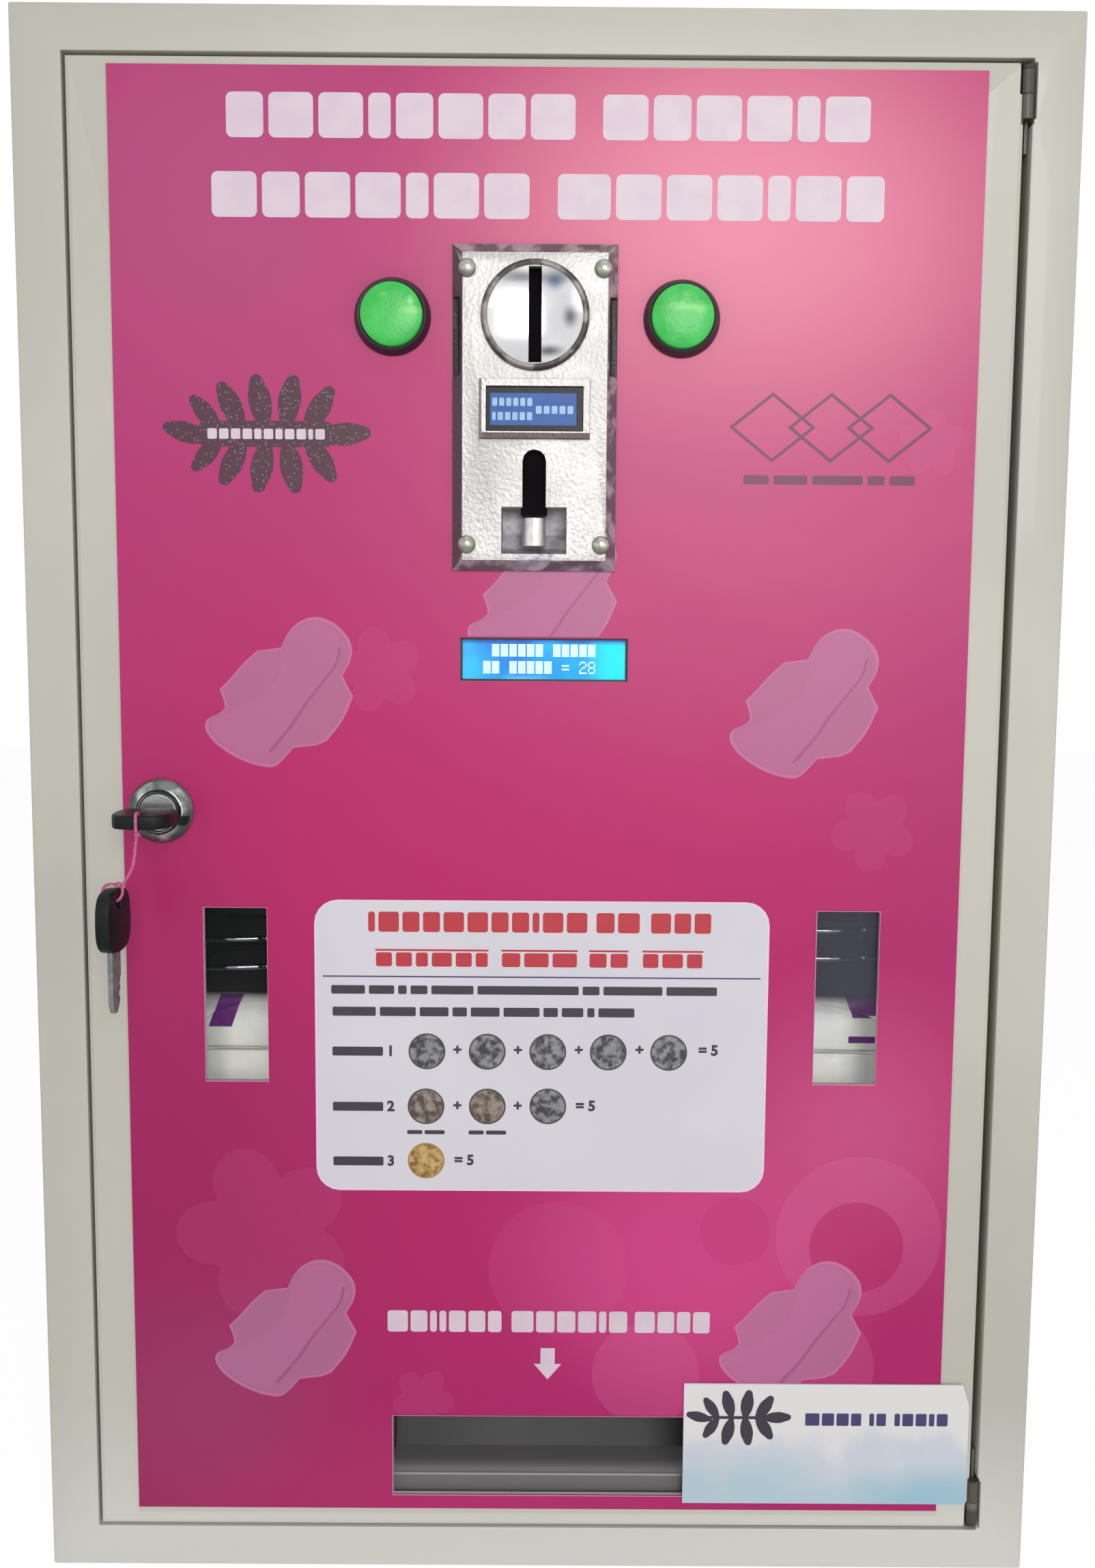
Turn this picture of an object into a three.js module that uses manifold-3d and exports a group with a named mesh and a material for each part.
// Wall-hung coin vending cabinet for wrapped sanitary pads, built as an assembly of separate pieces.
// Millimetres, +Z up, the door faces -Y. The origin is at the centre of the cabinet's bottom face.
import * as THREE from "three";
import { mergeVertices } from "three/addons/utils/BufferGeometryUtils.js";
import Module from "manifold-3d";

// Clearances that every section uses.
const seat = 0.3; // between pieces that rest against each other
const running = 0.35; // around pieces that slide or turn in a bore
const overrun = 1; // how far a cutter reaches past the face it cuts

// Facets of each arc or circle.
const facets = {
  fold: 2,
  corner: 2,
  dome: 4,
  small: 12,
  medium: 20,
  large: 32,
  packSide: 4,
  packUp: 2,
};

// Folded sheet-steel cabinet. The frame is the band seen round the door, the lip its return fold.
const cabinet = {
  width: 413,
  height: 635,
  depth: 200,
  sheet: 1.5,
  bend: 2,
  frameSide: 20,
  frameTop: 18,
  frameBottom: 18,
  lip: 18,
  rearFlange: 12,
};

// Back panel with four keyholes for the wall screws and two pressed beads.
const back = {
  sheet: 1.5,
  keyholeFromSide: 56.5,
  keyholeFromEnd: 57.5,
  keyholeHead: 11,
  keyholeShank: 6,
  keyholeDrop: 14,
  keyholeRound: 2,
  beadWidth: 14,
  beadRound: 4.5,
  beadFromEnd: 102.5,
  beadFromSide: 111.5,
  beadRise: 2.4,
};

// Door pan, hung on the right, with a wider gap on the hinge side.
const door = {
  gapLatch: 2,
  gapHinge: 3,
  gapTop: 2.5,
  gapBottom: 2,
  sheet: 1.5,
  bend: 2,
  fold: 17,
};

// Barrel hinges in the gap, at the top and bottom corners.
const hinge = {
  fromFrame: 2,
  behindFront: 1.5,
  barrelRadius: 2.5,
  pinRadius: 1.3,
  barrelLength: 9,
  leafThickness: 1.3,
  leafLength: 17,
  leafHeight: 30,
  fromCorner: 1.5,
  notch: 0.8,
  pinHead: 2.2,
  pinHeadHeight: 1.4,
};

// Printed vinyl on the door.
const vinyl = { fromSide: 37.5, fromDoorTop: 2.5, fromDoorBottom: 5, thickness: 0.4 };

// Viewing windows and their clear sheets.
const view = {
  fromSide: 82,
  centre: 249,
  width: 25.5,
  height: 72,
  corner: 1,
  overlap: 6,
  thickness: 2,
};

// Character display behind its slot.
const lcd = {
  fromTop: 249,
  slotWidth: 67,
  slotHeight: 17.2,
  bezelWidth: 71.2,
  bezelHeight: 24.2,
  bezelDepth: 7.5,
  bezelWall: 0.8,
  viewWidth: 65,
  viewHeight: 15.6,
  glassDepth: 3,
  boardWidth: 80,
  boardHeight: 36,
  boardDepth: 1.6,
  boardHole: 1.6,
  chipWidth: 14,
  chipDepth: 2,
};

// Illuminated push buttons beside the coin acceptor.
const button = {
  fromTop: 116.5,
  left: -59.7,
  right: 52.7,
  bezelRadius: 14.8,
  bezelTop: 13.4,
  bezelHeight: 5.5,
  boreRadius: 12.3,
  floor: 0.8,
  neckRadius: 10.8,
  neckLength: 24,
  stemRadius: 6,
  stemLength: 12,
  capDome: 1.3,
  domeShares: [
    [1, 0],
    [0.89, 0.5],
    [0.5, 1.2],
    [0, 1.5],
  ],
  travel: 2.5,
  nutAcross: 26,
  nutHeight: 6,
  switchSize: 19,
  switchLength: 22,
};

// Coin acceptor: a bevelled die-cast plate with a black mechanism behind it. What lies on the plate keeps
// its share of the plate's height, in the tables named shares.
const acceptor = {
  x: -4.3,
  fromTop: 151.5,
  width: 64,
  height: 125,
  bevel: 4,
  rim: 1.5,
  thickness: 5.5,
  wall: 2.6,
  boltAcross: 52.6,
  boltHead: 3.6,
  boltDome: 2.4,
  boltShank: 2,
  boltNutAcross: 8,
  boltNutHeight: 3.2,
  bodyWidth: 46.6,
  bodyDepth: 66,
  bodyRound: 3,
  sideSlotDepth: 2.2,
};

const acceptorShares = { boltUp: 0.84, bodyHeight: 0.7408, sideSlotTop: 0.336, sideSlotHeight: 0.236 };

// Round coin entry with its dished disc and upright slot.
const entry = {
  ringHeight: 2.2,
  dish: 2.4,
  dishShares: [
    [0, 1],
    [0.5, 0.75],
    [1, 0],
  ],
  ringShares: [
    [0, 0.67],
    [0.2, 1],
    [0.7, 1],
    [1, 0.25],
  ],
  discThickness: 1.6,
  slotWidth: 5,
};
const entryShares = {
  up: 0.28,
  ringRadius: 0.168,
  discRadius: 0.1468,
  plugRadius: 0.1496,
  slotHeight: 0.288,
};

// Raised frame with its small sign, below the coin entry.
const sign = {
  frameWidth: 42.8,
  frameRise: 2,
  width: 37.6,
  depth: 4,
  thickness: 2.4,
};
const signShares = { up: -0.004, frameHeight: 0.1816, height: 0.136 };

// Coin return: a pill-shaped slot over a pocket, with a half-round push lever between them.
const refund = {
  slotWidth: 9,
  slotDepth: 14,
  pocketWidth: 25.3,
  pocketDepth: 14,
  pocketWall: 1.4,
  lipRadius: 8,
  leverRadius: 4.6,
  leverFront: 0.8,
  leverBack: 3,
  stemWidth: 4,
  stemHeight: 6,
  stemLength: 14,
  travel: 4,
};
const refundShares = {
  slotTop: -0.1264,
  slotBottom: -0.328,
  pocketTop: -0.304,
  pocketBottom: -0.448,
  leverTop: -0.336,
  leverBottom: -0.424,
};

// Coin path inside the acceptor and the tube below it.
const coin = {
  gap: 5.2,
  diameter: 28,
  pathBack: 32,
  tubeWall: 1.5,
  overBox: 15.6,
  tubeFlange: 4,
};

// Cam lock, its key and the spare that hangs from it on a thread.
const lock = {
  fromSide: 53,
  centre: 324.5,
  flangeRadius: 13,
  flangeFace: 9.5,
  flangeEdge: 1,
  flangeHeight: 5,
  ringRadius: 8.6,
  ringHeight: 1.5,
  barrelRadius: 9.4,
  barrelLength: 18.2,
  plugRadius: 7.5,
  tail: 8,
  tailLength: 2.6,
  headRadius: 6.4,
  headHeight: 2.6,
  nutAcross: 24,
  nutHeight: 4,
  camLength: 42,
  camWidth: 14,
  camThickness: 2.2,
};
const key = {
  bladeWidth: 8,
  bladeThickness: 2,
  bladeLength: 22,
  reveal: 6.5,
  bowWidth: 23,
  bowLength: 25,
  bowThickness: 5.4,
  bowCorner: 7,
  holeRadius: 2.6,
  holeFromEnd: 5,
};
const spare = { aside: 10.2, drop: 22.9, inward: 1, turn: 68 };

// The thread's route, as shares of the way across, forward and down from the key to the spare.
const thread = {
  diameter: 1.2,
  sides: 8,
  stepCount: 18,
  routeShares: [
    [0, 0, 0],
    [0.07, 0.25, 0.22],
    [0.13, 0.5, 0.44],
    [0.23, 0.7, 0.64],
    [0.48, 0.85, 0.82],
    [1, 1, 1],
  ],
};

// Delivery opening in the door and the plain notice card beside it.
const opening = { x: 4, width: 130.5, bottom: 33.4, height: 35 };
const card = { fromHingeEdge: 2.5, width: 120, bottom: 30.7, height: 53, thickness: 0.8 };

// Wrapped pads, stacked flat in each column. Their depth is the cabinet's less the room for the drive.
const pack = {
  width: 76,
  driveRoom: 112,
  height: 19.4,
  pitch: 20,
  count: 3,
  crown: 1.6,
  edge: 3.2,
  slack: 1,
};

// Magazine column of thin sheet with pressed cross ribs in its rear wall.
const magazine = {
  sheet: 1.2,
  front: 30,
  fromTop: 75,
  lip: 12,
  ribPitch: 13.5,
  ribRise: 2.4,
  ribHeight: 6,
  ribMargin: 8,
  tabWidth: 24,
  tabHeight: 18,
  tabFromTop: 60,
  tabPitch: 180,
};

// Deck under each column, with the upright plate that carries the gearmotor.
const deck = { top: 185, sheet: 1.5, wallFlange: 14, plateHeight: 44, plateWidth: 46, exit: 2.5 };

// Pusher with its rack, and the pinion that drives it.
const pusher = { length: 38, height: 17, sheet: 2, travel: 42, armGap: 1.5, rackDepth: 8 };
const gear = {
  module: 1.5,
  teeth: 14,
  spareTeeth: 4,
  restTooth: 4,
  face: 7,
  bore: 2.5,
  apart: 0.3,
  play: 0.2,
  pressureDegrees: 20,
  rootShare: 1.25,
  flankShares: [-0.33, 0.33],
};
const motor = { radius: 17, length: 46, gearboxLength: 18, bossRadius: 6, bossLength: 3 };

// Delivery chute seen through the opening.
const chute = {
  sheet: 1.2,
  wide: 138,
  lipTop: 40,
  lipFront: 4.5,
  lipDrop: 14,
  troughDepth: 34,
  troughFall: 7,
  backTop: 118,
  skirt: 12,
  flangeFront: 32,
  flangeUnder: 10,
};

// Coin box and the shelf that carries it, above the drop shaft.
const box = {
  widthShare: 0.6406,
  depth: 96,
  height: 70,
  sheet: 1.2,
  front: 24,
  gripShare: 0.5556,
  gripHeight: 14,
  gripRound: 4.6,
  shelfTop: 214,
};
const shelf = { sheet: 1.2, flange: 24, front: 22, depth: 120 };

// Power supply, control board and mains inlet.
const supply = {
  width: 129,
  height: 98,
  depth: 38,
  fromTop: 305,
  cover: 2,
  ventCount: 6,
  ventWidth: 3,
  ventHeight: 60,
  ventPitch: 14,
};

// Each chip's middle and size are shares of the board's width and height, its rise a share of the standoff.
const board = {
  width: 130,
  height: 100,
  thickness: 1.6,
  standoff: 8,
  standoffRadius: 3,
  inset: 6,
  fromTop: 180,
  chipShares: [
    { x: -0.1, z: 0.05, width: 0.2, height: 0.26, rise: 0.4 },
    { x: 0.3, z: 0.2, width: 0.15, height: 0.25, rise: 2 },
    { x: 0.3, z: -0.15, width: 0.15, height: 0.25, rise: 2 },
    { x: 0, z: -0.38, width: 0.6, height: 0.1, rise: 1 },
  ],
};
const inlet = {
  height: 24,
  depth: 31,
  flange: 2.6,
  body: 18,
  bodyHeight: 20,
  bodyDepth: 27,
  fromRear: 40,
  up: 60,
  hole: 0.5,
  socketHeight: 16,
  socketDepth: 23,
  socketIn: 15,
  pin: 2,
  pinLength: 11,
  pinPitch: 7,
};

// Colours of the finishes.
const paint = {
  cabinet: finish(0xc9c6bd, 0.45, 0.1),
  vinyl: finish(0xbe2d6e, 0.3, 0),
  zinc: finish(0x9da0a0, 0.4, 0.8),
  chrome: finish(0xd8dadd, 0.15, 1),
  black: finish(0x1b1c1e, 0.45, 0),
  green: finish(0x4fc36a, 0.2, 0),
  clear: finish(0xdfe6e6, 0.1, 0),
  backlight: finish(0x27a9d8, 0.3, 0),
  pcb: finish(0x1d5c39, 0.5, 0),
  white: finish(0xe6e3db, 0.6, 0),
  card: finish(0xdfe8f0, 0.4, 0),
  blue: finish(0x2a62b8, 0.4, 0),
  brass: finish(0xb59a52, 0.35, 0.9),
  pink: finish(0xe58aa8, 0.8, 0),
  darkSheet: finish(0x4a4c4e, 0.4, 0.6),
};

function finish(color, roughness, metalness) {
  return new THREE.MeshStandardMaterial({ color, roughness, metalness });
}

// Lengths on the acceptor's plate, from their shares of its height.
function onPlate(shares) {
  const lengths = Object.entries(shares).map(([name, share]) => [name, share * acceptor.height]);
  return Object.fromEntries(lengths);
}
Object.assign(acceptor, onPlate(acceptorShares));
Object.assign(entry, onPlate(entryShares));
Object.assign(sign, onPlate(signShares));
Object.assign(refund, onPlate(refundShares));

// Places worked out from the sizes above. Inward distances are counted from the front face of the frame.
const columnX = cabinet.width / 2 - view.fromSide;
const lockX = lock.fromSide - cabinet.width / 2;
const lcdUp = cabinet.height - lcd.fromTop;
const buttonUp = cabinet.height - button.fromTop;
const acceptorUp = cabinet.height - acceptor.fromTop;
const packDepth = cabinet.depth - pack.driveRoom;
const openHalf = cabinet.width / 2 - cabinet.frameSide;
const openBottom = cabinet.frameBottom;
const openTop = cabinet.height - cabinet.frameTop;
const doorLeft = -openHalf + door.gapLatch;
const doorRight = openHalf - door.gapHinge;
const doorBottom = openBottom + door.gapBottom;
const doorTop = openTop - door.gapTop;
const doorInside = door.sheet + seat;
const vinylFace = -(seat + vinyl.thickness);
const mountFace = vinylFace - seat;
const hingeX = openHalf - hinge.fromFrame;
const columnWidth = pack.width + 2 * pack.slack;
const stackFront = magazine.front + magazine.sheet + pack.slack;
const stackBack = stackFront + packDepth;
const magazineRear = stackBack + pack.slack;
const rackFront = magazineRear + magazine.sheet + magazine.ribRise + pusher.armGap;
const pitchRadius = (gear.module * gear.teeth) / 2;
const platePlane = rackFront + pusher.rackDepth + motor.bossLength;
const acceptorFace = mountFace - acceptor.thickness;
const backFace = cabinet.depth - back.sheet - seat;

const wasm = await Module();
wasm.setup();

// Turns a closed three.js geometry into a solid for joining and cutting.
function solid(geometry) {
  geometry.deleteAttribute("normal");
  geometry.deleteAttribute("uv");
  const merged = mergeVertices(geometry, 1e-5);
  const corners = merged.index.array;
  const kept = [];
  for (let i = 0; i < corners.length; i += 3) {
    const [a, b, c] = [corners[i], corners[i + 1], corners[i + 2]];
    if (a !== b && b !== c && c !== a) kept.push(a, b, c);
  }
  const vertProperties = new Float32Array(merged.attributes.position.array);
  const triVerts = Uint32Array.from(kept);
  return new wasm.Manifold(new wasm.Mesh({ numProp: 3, vertProperties, triVerts }));
}

// Names a solid and gives it a finish.
function piece(name, made, material) {
  const { vertProperties, triVerts } = made.getMesh();
  const geometry = new THREE.BufferGeometry();
  geometry.setAttribute("position", new THREE.BufferAttribute(new Float32Array(vertProperties), 3));
  geometry.setIndex(new THREE.BufferAttribute(new Uint32Array(triVerts), 1));
  geometry.computeVertexNormals();
  const mesh = new THREE.Mesh(geometry, material);
  mesh.name = name;
  return mesh;
}

const join = (first, ...rest) => rest.reduce((made, next) => made.add(next), first);
const cut = (first, ...tools) => tools.reduce((made, tool) => made.subtract(tool), first);
const range = (count) => Array.from({ length: count }, (_, i) => i);
const ordered = (a, b) => [Math.min(a, b), Math.max(a, b)];

// A group of pieces placed together.
function assembly(x, y, z, ...parts) {
  const group = new THREE.Group();
  group.position.set(x, y, z);
  group.add(...parts);
  return group;
}

function block([x0, x1], [y0, y1], [z0, z1]) {
  const geometry = new THREE.BoxGeometry(x1 - x0, y1 - y0, z1 - z0);
  return solid(geometry.translate((x0 + x1) / 2, (y0 + y1) / 2, (z0 + z1) / 2));
}

// Outlines. Rectangles are centred on x, y.
function rectangle(width, height, x = 0, y = 0, corner = 0) {
  const [w, h] = [width / 2, height / 2];
  if (!corner) return polygon([[x - w, y - h], [x + w, y - h], [x + w, y + h], [x - w, y + h]]);
  const shape = new THREE.Shape();
  const [a, b] = [w - corner, h - corner];
  shape.absarc(x + a, y + b, corner, 0, Math.PI / 2);
  shape.absarc(x - a, y + b, corner, Math.PI / 2, Math.PI);
  shape.absarc(x - a, y - b, corner, Math.PI, 1.5 * Math.PI);
  shape.absarc(x + a, y - b, corner, 1.5 * Math.PI, 2 * Math.PI);
  return shape;
}

function circle(radius, x = 0, y = 0) {
  const shape = new THREE.Shape();
  shape.absarc(x, y, radius, 0, 2 * Math.PI);
  return shape;
}

function hexagon(across, x = 0, y = 0) {
  const radius = across / Math.sqrt(3);
  const corners = range(6).map((i) => (i * Math.PI) / 3);
  return polygon(corners.map((a) => [x + radius * Math.cos(a), y + radius * Math.sin(a)]));
}

function polygon(points) {
  return new THREE.Shape(points.map(([x, y]) => new THREE.Vector2(x, y)));
}

// Extrusions: an outline in x and z along y, in x and y along z, or in y and z along x.
// An arc is drawn with twice as many facets as the curve segments asked for.
function extruded(shape, length, segments) {
  const settings = { depth: length, bevelEnabled: false, curveSegments: Math.ceil(segments / 2) };
  return new THREE.ExtrudeGeometry(shape, settings);
}

function alongY(shape, from, to, segments = facets.corner) {
  return solid(extruded(shape, to - from, segments).rotateX(Math.PI / 2).translate(0, to, 0));
}

function alongZ(shape, from, to, segments = facets.corner) {
  return solid(extruded(shape, to - from, segments).translate(0, 0, from));
}

function alongX(shape, from, to, segments = facets.corner) {
  const turn = new THREE.Matrix4().makeBasis(
    new THREE.Vector3(0, 1, 0),
    new THREE.Vector3(0, 0, 1),
    new THREE.Vector3(1, 0, 0),
  );
  return solid(extruded(shape, to - from, segments).applyMatrix4(turn).translate(from, 0, 0));
}

// A turned form about the y axis from [radius, y] points, closed on the axis or on itself.
function turned(points, segments = facets.medium) {
  const profile = points.map(([r, y]) => new THREE.Vector2(r, y));
  if (THREE.ShapeUtils.isClockWise(profile)) profile.reverse();
  if (profile[0].x > 0) profile.push(profile[0].clone());
  return solid(new THREE.LatheGeometry(profile, segments));
}

function rodY(radius, from, to, segments) {
  return turned([[0, from], [radius, from], [radius, to], [0, to]], segments);
}

// Section of a bent sheet: a line of points and the same line offset to its right by the thickness.
function strip(points, thickness) {
  const line = points.map(([x, y]) => new THREE.Vector2(x, y));
  const ways = line.slice(1).map((point, i) => point.clone().sub(line[i]).normalize());
  const offset = line.map((point, i) => {
    const before = ways[Math.max(i - 1, 0)];
    const after = ways[Math.min(i, ways.length - 1)];
    const normal = new THREE.Vector2(before.y + after.y, -before.x - after.x).normalize();
    const reach = thickness / (normal.x * after.y - normal.y * after.x);
    return point.clone().addScaledVector(normal, reach);
  });
  return new THREE.Shape([...line, ...offset.reverse()]);
}

// A folded box whose front edges and long edges are rounded, as bent sheet is.
function foldedBox([x0, x1], depth, [z0, z1], bend) {
  const [width, height] = [x1 - x0, z1 - z0];
  const [x, z] = [(x0 + x1) / 2, (z0 + z1) / 2];
  const long = depth + bend;
  const face = alongY(rectangle(width, height, x, z, bend), 0, depth, facets.fold);
  const plan = alongZ(rectangle(width, long, x, long / 2, bend), z0, z1, facets.fold);
  const side = alongX(rectangle(long, height, long / 2, z, bend), x0, x1, facets.fold);
  return face.intersect(plan).intersect(side);
}

// Spans of the two hinge barrels at one corner, given from the door's top or bottom edge.
function hingeSpans(upper) {
  const edge = upper ? doorTop : doorBottom;
  const way = upper ? -1 : 1;
  const first = edge + way * hinge.fromCorner;
  const second = first + way * hinge.barrelLength;
  const third = second + way * seat;
  const fourth = third + way * hinge.barrelLength;
  return {
    frame: ordered(first, second),
    door: ordered(third, fourth),
    all: ordered(edge - way * overrun, fourth),
  };
}

function hingeRod(radius, [z0, z1]) {
  return alongZ(circle(radius, hingeX, hinge.behindFront), z0, z1, facets.small);
}

// Cabinet body: folded shell with its front frame, return lip and rear flange.
function cabinetShell() {
  const { width, height, depth, sheet, bend, lip, rearFlange } = cabinet;
  const half = width / 2;
  const rear = depth - back.sheet - seat;
  const inside = [-half + sheet, half - sheet];
  const insideUp = [sheet, height - sheet];
  const flangeIn = [-half + sheet + rearFlange, half - sheet - rearFlange];
  const flangeUp = [sheet + rearFlange, height - sheet - rearFlange];
  const lipOut = [-openHalf - sheet, openHalf + sheet];
  const ring = cut(
    block(lipOut, [sheet / 2, lip], [openBottom - sheet, openTop + sheet]),
    block([-openHalf, openHalf], [0, lip + overrun], [openBottom, openTop]),
  );
  const shell = cut(
    foldedBox([-half, half], rear, [0, height], bend),
    block(inside, [sheet, rear - sheet], insideUp),
    block(flangeIn, [rear / 2, rear + overrun], flangeUp),
    block([-openHalf, openHalf], [-overrun, sheet + overrun], [openBottom, openTop]),
  );
  const notches = [true, false].map((upper) =>
    block(
      [openHalf - overrun, hingeX + hinge.barrelRadius + hinge.notch],
      [-overrun, hinge.behindFront + hinge.barrelRadius + hinge.notch],
      hingeSpans(upper).all,
    ),
  );
  const around = (size) => size + 2 * inlet.hole;
  const socket = alongX(
    rectangle(around(inlet.bodyDepth), around(inlet.bodyHeight), inletY, inlet.up),
    half - sheet - overrun,
    half + overrun,
  );
  return piece("cabinet_shell", cut(join(shell, ring), ...notches, socket), paint.cabinet);
}

const inletY = cabinet.depth - inlet.fromRear;

// Back panel: flat sheet with pressed beads and keyholes.
function backPanel() {
  const { width, height, depth } = cabinet;
  const from = depth - back.sheet;
  const z = height / 2;
  const through = [from - overrun, depth + overrun];
  const across = width - 2 * back.keyholeFromSide;
  const holes = corners(across, height - 2 * back.keyholeFromEnd).map(([x, up]) => {
    const head = circle(back.keyholeHead / 2, x, z + up);
    const middle = z + up + back.keyholeDrop / 2;
    const tail = rectangle(back.keyholeShank, back.keyholeDrop, x, middle, back.keyholeRound);
    return join(alongY(head, ...through, facets.small), alongY(tail, ...through));
  });
  const bead = (side, growth, y0, y1) => {
    const [w, h] = [back.beadWidth + growth, height - 2 * back.beadFromEnd + growth];
    return alongY(rectangle(w, h, side * (width / 2 - back.beadFromSide), z, back.beadRound), y0, y1);
  };
  const sides = [-1, 1];
  const rise = from - back.beadRise;
  const panel = join(
    alongY(rectangle(width, height, 0, z, cabinet.bend), from, depth, facets.fold),
    ...sides.map((side) => bead(side, 2 * back.sheet, rise, from + back.sheet / 2)),
  );
  const pressed = sides.map((side) => bead(side, 0, rise + back.sheet, depth + overrun));
  return piece("back_panel", cut(panel, ...holes, ...pressed), paint.cabinet);
}

// Frame half of a hinge: barrel and leaf against the return lip.
function hingeBracket(name, upper) {
  const { frame } = hingeSpans(upper);
  const leafX = [openHalf - seat - hinge.leafThickness, openHalf - seat];
  const behind = hinge.behindFront + hinge.barrelRadius + hinge.notch;
  const leafZ = upper ? [frame[1] - hinge.leafHeight, frame[1]] : [frame[0], frame[0] + hinge.leafHeight];
  const made = join(
    hingeRod(hinge.barrelRadius, frame),
    block(leafX, [behind, hinge.leafLength], leafZ),
    block(leafX, [hinge.behindFront, behind + overrun], frame),
  );
  const bore = hingeRod(hinge.pinRadius + running, [frame[0] - overrun, frame[1] + overrun]);
  return piece(name, cut(made, bore), paint.zinc);
}

// The pin's head is at the outer end of the frame barrel.
function hingePin(name, upper) {
  const { frame, door: own } = hingeSpans(upper);
  const way = upper ? 1 : -1;
  const outer = upper ? frame[1] : frame[0];
  const inner = upper ? own[0] : own[1];
  const under = outer + way * seat;
  const end = under + way * hinge.pinHeadHeight;
  const shaft = hingeRod(hinge.pinRadius, ordered(inner, end));
  return piece(name, join(shaft, hingeRod(hinge.pinHead, ordered(under, end))), paint.zinc);
}

// Cut-outs that the door skin and the vinyl share. Each takes the y span that it cuts.
function doorCuts(span) {
  const { x } = acceptor;
  const clear = 2 * seat;
  const pocketHalf = refund.pocketWidth / 2 + refund.pocketWall + seat;
  const pocketLow = refund.pocketBottom - refund.pocketWall - seat;
  const bolts = corners(acceptor.boltAcross, acceptor.boltUp);
  const hole = (radius, at, up, segments) => alongY(circle(radius, at, up), ...span, segments);
  const window = (side) => rectangle(view.width, view.height, side * columnX, view.centre, view.corner);
  const outlines = [
    window(-1),
    window(1),
    rectangle(lcd.slotWidth, lcd.slotHeight, 0, lcdUp),
    rectangle(opening.width, opening.height, opening.x, opening.bottom + opening.height / 2),
    rectangle(acceptor.bodyWidth + clear, acceptor.bodyHeight + clear, x, acceptorUp),
  ];
  return [
    ...outlines.map((shape) => alongY(shape, ...span)),
    block([x - pocketHalf, x + pocketHalf], span, [acceptorUp + pocketLow, acceptorUp]),
    ...bolts.map(([a, b]) => hole(acceptor.boltShank + running, x + a, acceptorUp + b, facets.small)),
    hole(button.neckRadius + running, button.left, buttonUp, facets.medium),
    hole(button.neckRadius + running, button.right, buttonUp, facets.medium),
    hole(lock.barrelRadius + running, lockX, lock.centre, facets.medium),
  ];
}

function corners(across, up) {
  return [[-1, 1], [1, 1], [-1, -1], [1, -1]].map(([a, b]) => [(a * across) / 2, (b * up) / 2]);
}

// Door pan with folded edges, hinge notches and the door half of each hinge barrel.
function doorPanel() {
  const { sheet, fold, bend } = door;
  const insideX = [doorLeft + sheet, doorRight - sheet];
  const insideZ = [doorBottom + sheet, doorTop - sheet];
  const pan = cut(
    foldedBox([doorLeft, doorRight], fold, [doorBottom, doorTop], bend),
    block(insideX, [sheet, fold + overrun], insideZ),
    ...doorCuts([-overrun, sheet + overrun]),
  );
  const notches = [true, false].map((upper) => {
    const { frame, all } = hingeSpans(upper);
    const notch = upper ? [frame[0] - seat, all[1]] : [all[0], frame[1] + seat];
    return block(
      [hingeX - hinge.barrelRadius - hinge.notch, doorRight + overrun],
      [-overrun, hinge.behindFront + hinge.barrelRadius + hinge.notch],
      notch,
    );
  });
  const barrels = [true, false].map((upper) => hingeRod(hinge.barrelRadius, hingeSpans(upper).door));
  const bores = [true, false].map((upper) => {
    const own = hingeSpans(upper).door;
    return hingeRod(hinge.pinRadius + running, [own[0] - overrun, own[1] + overrun]);
  });
  return piece("door_panel", cut(join(cut(pan, ...notches), ...barrels), ...bores), paint.cabinet);
}

function doorVinyl() {
  const half = cabinet.width / 2 - vinyl.fromSide;
  const upright = [doorBottom + vinyl.fromDoorBottom, doorTop - vinyl.fromDoorTop];
  const sheetOf = block([-half, half], [vinylFace, -seat], upright);
  return piece("door_vinyl", cut(sheetOf, ...doorCuts([vinylFace - overrun, overrun])), paint.vinyl);
}

function viewingWindow(name, side) {
  const width = view.width + 2 * view.overlap;
  const height = view.height + 2 * view.overlap;
  const shape = rectangle(width, height, side * columnX, view.centre, view.corner);
  return piece(name, alongY(shape, doorInside, doorInside + view.thickness), paint.clear);
}

// Display: black metal bezel round the glass, and the board behind.
function display() {
  const glassFrom = lcd.bezelWall + seat;
  const within = (wall) => rectangle(lcd.bezelWidth - 2 * wall, lcd.bezelHeight - 2 * wall);
  const bezel = cut(
    alongY(within(0), 0, lcd.bezelDepth),
    alongY(within(lcd.bezelWall), lcd.bezelWall, lcd.bezelDepth + overrun),
    alongY(rectangle(lcd.viewWidth, lcd.viewHeight), -overrun, lcd.bezelDepth),
  );
  const glass = alongY(within(lcd.bezelWall + seat), glassFrom, glassFrom + lcd.glassDepth);
  const boardFrom = lcd.bezelDepth + seat;
  const boardTo = boardFrom + lcd.boardDepth;
  const inset = 2 * lcd.glassDepth;
  const holes = corners(lcd.boardWidth - inset, lcd.boardHeight - inset).map(([a, b]) =>
    alongY(circle(lcd.boardHole, a, b), boardFrom - overrun, boardTo + overrun, facets.small),
  );
  const chips = [-1, 1].map((side) => {
    const shape = rectangle(lcd.chipWidth, lcd.chipWidth, side * lcd.chipWidth);
    return alongY(shape, boardTo - lcd.boardDepth / 2, boardTo + lcd.chipDepth);
  });
  const sheetOf = alongY(rectangle(lcd.boardWidth, lcd.boardHeight), boardFrom, boardTo);
  const circuit = join(cut(sheetOf, ...holes), ...chips);
  return assembly(
    0,
    doorInside,
    lcdUp,
    piece("lcd_bezel", bezel, paint.black),
    piece("lcd_glass", glass, paint.backlight),
    piece("lcd_board", circuit, paint.pcb),
  );
}

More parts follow.
